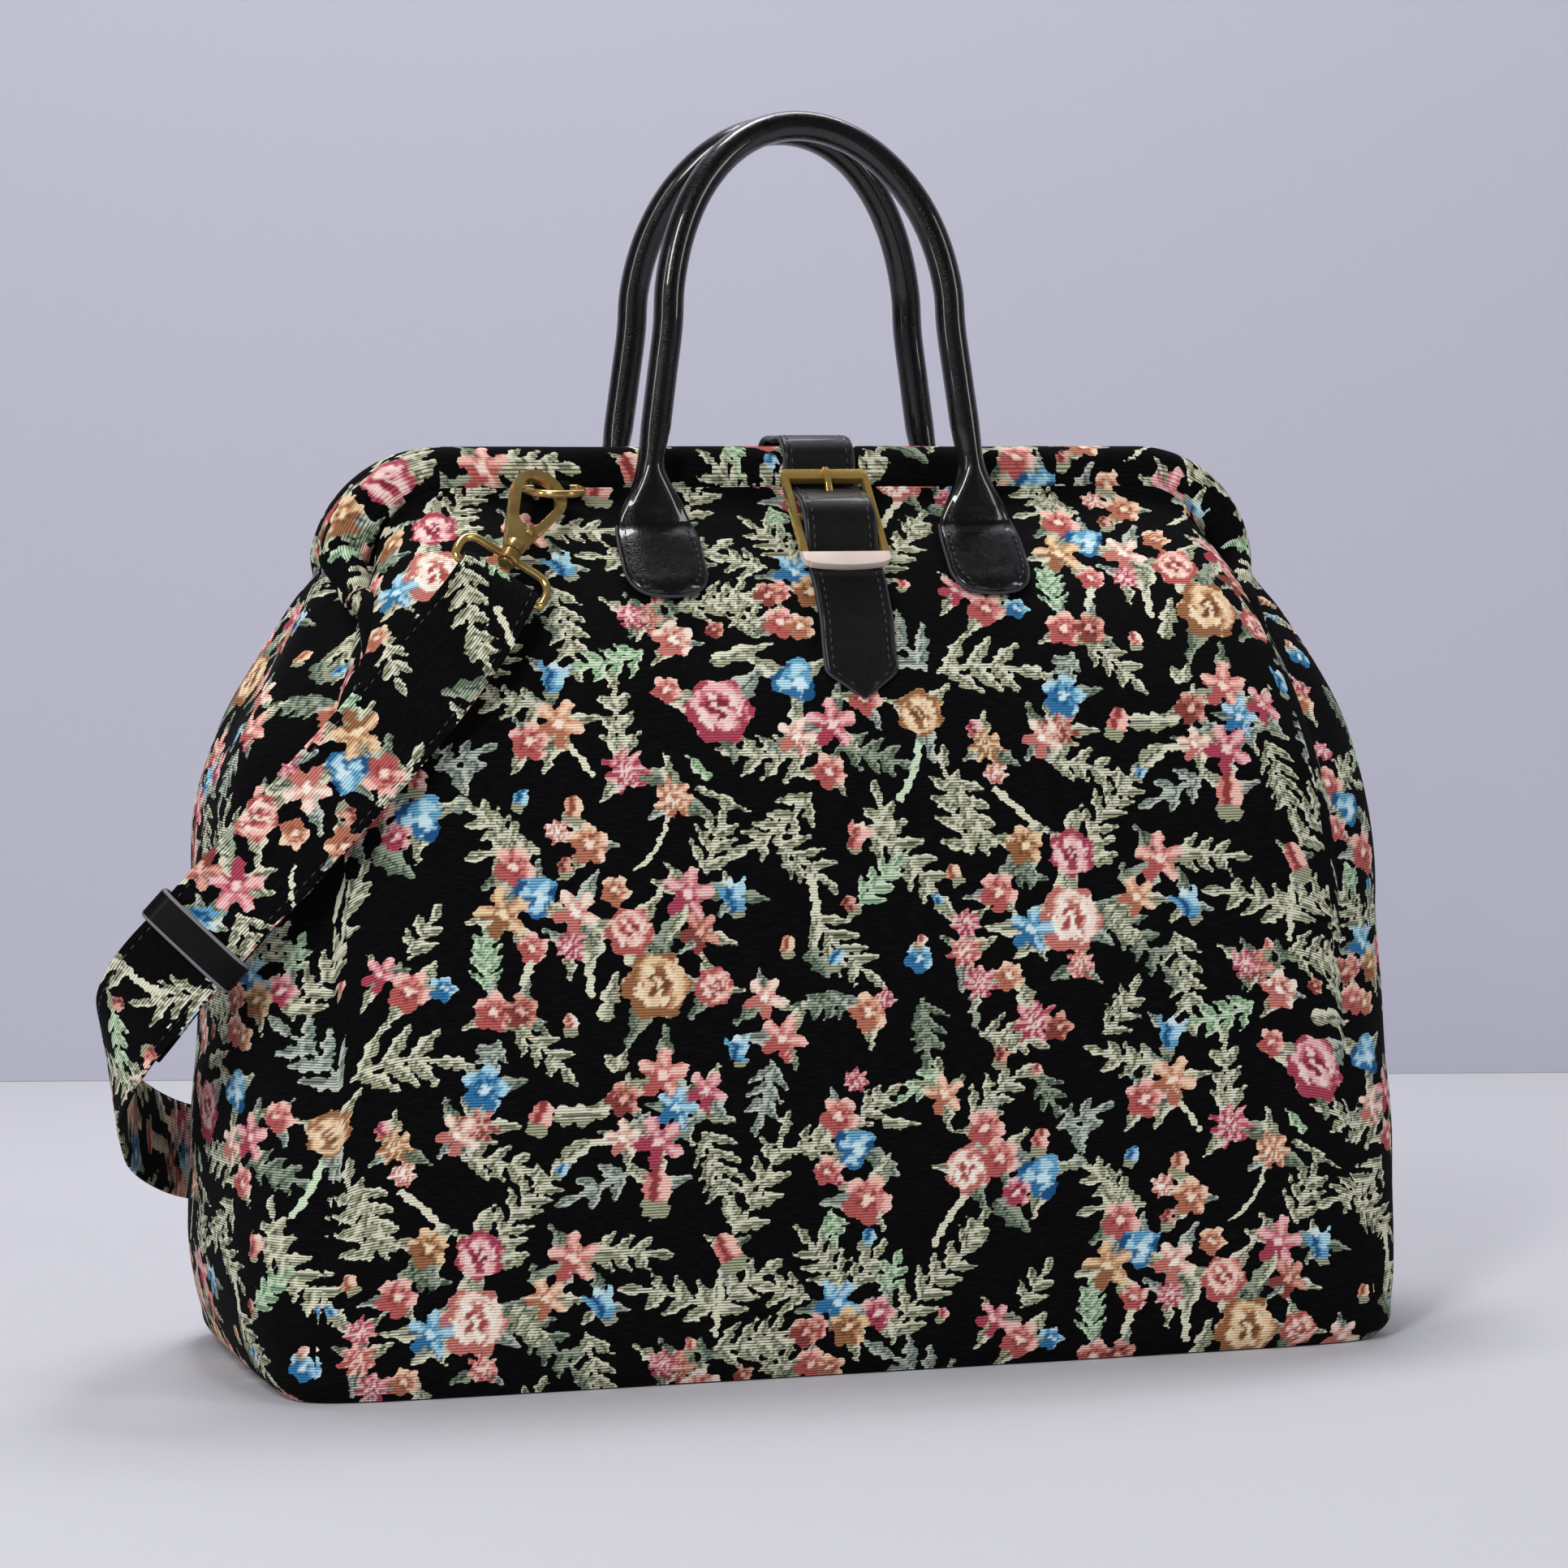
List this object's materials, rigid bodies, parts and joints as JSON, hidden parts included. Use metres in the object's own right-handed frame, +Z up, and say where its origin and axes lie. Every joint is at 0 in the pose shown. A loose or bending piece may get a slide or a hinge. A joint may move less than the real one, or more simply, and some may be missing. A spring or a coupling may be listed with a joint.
{
  "type": "carpet bag",
  "caption": "Framed tapestry-cloth carpet bag with rolled leather handles, buckled closing strap and a cloth shoulder strap on swivel hooks.",
  "frame": {"origin": "middle of the bottom, on the surface that the bag stands on", "axes": "+Z up, the front with the buckle faces -Y, +X to the right of someone who looks at the front"},
  "size_m": [0.5333, 0.2112, 0.496],
  "materials": {
    "cloth": "woven chenille tapestry",
    "lining": "plain weave",
    "board": "pressed fibreboard",
    "steel": "bare",
    "leather": "glossy, fine grain",
    "gold": "polished",
    "antique_brass": "antique"
  },
  "bodies": {
    "bag": {"body_cloth": "cloth", "lining": "lining", "base_board": "board", "front_frame": "steel", "back_frame": "steel", "frame_rivets": "steel", "front_casing": "cloth", "back_casing": "cloth", "front_handle": "leather", "back_handle": "leather", "closure_strap": "leather", "buckle_chape": "leather", "buckle_frame": "gold", "ring_tab_a": "cloth", "ring_tab_b": "cloth", "hook_a_loop": "antique_brass", "hook_b_loop": "antique_brass", "shoulder_strap": "cloth"},
    "tongue": {"buckle_tongue": "gold"},
    "ring_a": {"d_ring_a": "antique_brass"},
    "ring_b": {"d_ring_b": "antique_brass"},
    "hook_a": {"hook_a_body": "antique_brass", "hook_a_rivet": "antique_brass"},
    "gate_a": {"hook_a_gate": "antique_brass"},
    "hook_b": {"hook_b_body": "antique_brass", "hook_b_rivet": "antique_brass"},
    "gate_b": {"hook_b_gate": "antique_brass"},
    "keeper": {"strap_keeper": "leather"}
  },
  "joints": [
    {"name": "tongue_lift", "type": "hinge", "parent": "bag", "child": "tongue", "pos_m": [0.006, -0.03937, 0.33333], "axis": [1, 0, 0], "range_deg": [0, 10]},
    {"name": "ring_a_tilt", "type": "hinge", "parent": "bag", "child": "ring_a", "pos_m": [-0.106, -0.0226, 0.3453], "axis": [1, 0, 0], "range_deg": [-12, 0]},
    {"name": "ring_b_tilt", "type": "hinge", "parent": "bag", "child": "ring_b", "pos_m": [0.106, 0.0226, 0.3453], "axis": [-1, 0, 0], "range_deg": [-12, 0]},
    {"name": "hook_a_swivel", "type": "hinge", "parent": "bag", "child": "hook_a", "pos_m": [-0.13018, -0.05503, 0.32042], "axis": [0.4838, 0.5543, 0.6773], "range_deg": [0, 60]},
    {"name": "hook_b_swivel", "type": "hinge", "parent": "bag", "child": "hook_b", "pos_m": [0.08182, 0.05503, 0.32042], "axis": [-0.4838, 0.5543, -0.6773], "range_deg": [0, 60]},
    {"name": "gate_a_open", "type": "hinge", "parent": "hook_a", "child": "gate_a", "pos_m": [-0.12198, -0.04827, 0.32763], "axis": [0.2337, -0.8276, 0.5104], "range_deg": [0, 22], "stiffness_Nm_per_rad": 0.02, "springref_deg": -17.19},
    {"name": "gate_b_open", "type": "hinge", "parent": "hook_b", "child": "gate_b", "pos_m": [0.09002, 0.04827, 0.32763], "axis": [-0.2337, -0.8276, -0.5104], "range_deg": [0, 22], "stiffness_Nm_per_rad": 0.02, "springref_deg": -17.19},
    {"name": "keeper_slide", "type": "slide", "parent": "bag", "child": "keeper", "axis": [-0.6472, 0.1849, -0.7396], "range_m": [-0.01, 0.01]}
  ]
}
